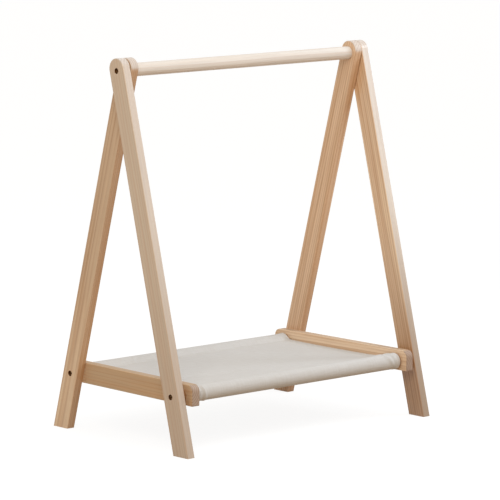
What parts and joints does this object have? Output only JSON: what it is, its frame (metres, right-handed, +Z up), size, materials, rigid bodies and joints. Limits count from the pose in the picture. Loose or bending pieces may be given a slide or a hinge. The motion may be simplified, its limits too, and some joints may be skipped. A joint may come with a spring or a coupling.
{
  "type": "children's clothes rack",
  "caption": "Free-standing clothes rack: crossed pine legs carry a round hanging rail, and a canvas sling shelf hangs on two dowels bolted between the low side rails.",
  "frame": {"origin": "on the floor, under the middle of the rack", "axes": "+X along the hanging rail to the right, +Y to the back, +Z up"},
  "size_m": [0.758, 0.4816, 0.8588],
  "materials": {
    "pine": "planed and sanded pine, clear matt",
    "canvas": "undyed plain-weave cotton canvas",
    "zinc_steel": "dark zinc-plated steel",
    "insert_brass": "turned brass"
  },
  "bodies": {
    "frame": {"hanging_rail": "pine", "sling_dowel_front": "pine", "sling_dowel_rear": "pine", "side_rail_left": "pine", "front_spacer_left": "pine", "pivot_washer_left": "zinc_steel", "top_bolt_left": "zinc_steel", "hanging_rail_insert_left": "insert_brass", "front_leg_left": "pine", "front_bolt_left": "zinc_steel", "front_dowel_insert_left": "insert_brass", "rear_leg_left": "pine", "rear_bolt_left": "zinc_steel", "rear_dowel_insert_left": "insert_brass", "side_rail_right": "pine", "front_spacer_right": "pine", "pivot_washer_right": "zinc_steel", "top_bolt_right": "zinc_steel", "hanging_rail_insert_right": "insert_brass", "front_leg_right": "pine", "front_bolt_right": "zinc_steel", "front_dowel_insert_right": "insert_brass", "rear_leg_right": "pine", "rear_bolt_right": "zinc_steel", "rear_dowel_insert_right": "insert_brass"},
    "sling": {"canvas_sling": "canvas"}
  },
  "joints": [
    {"name": "sling_slide", "type": "slide", "parent": "frame", "child": "sling", "axis": [1, 0, 0], "range_m": [-0.004, 0.004]}
  ]
}
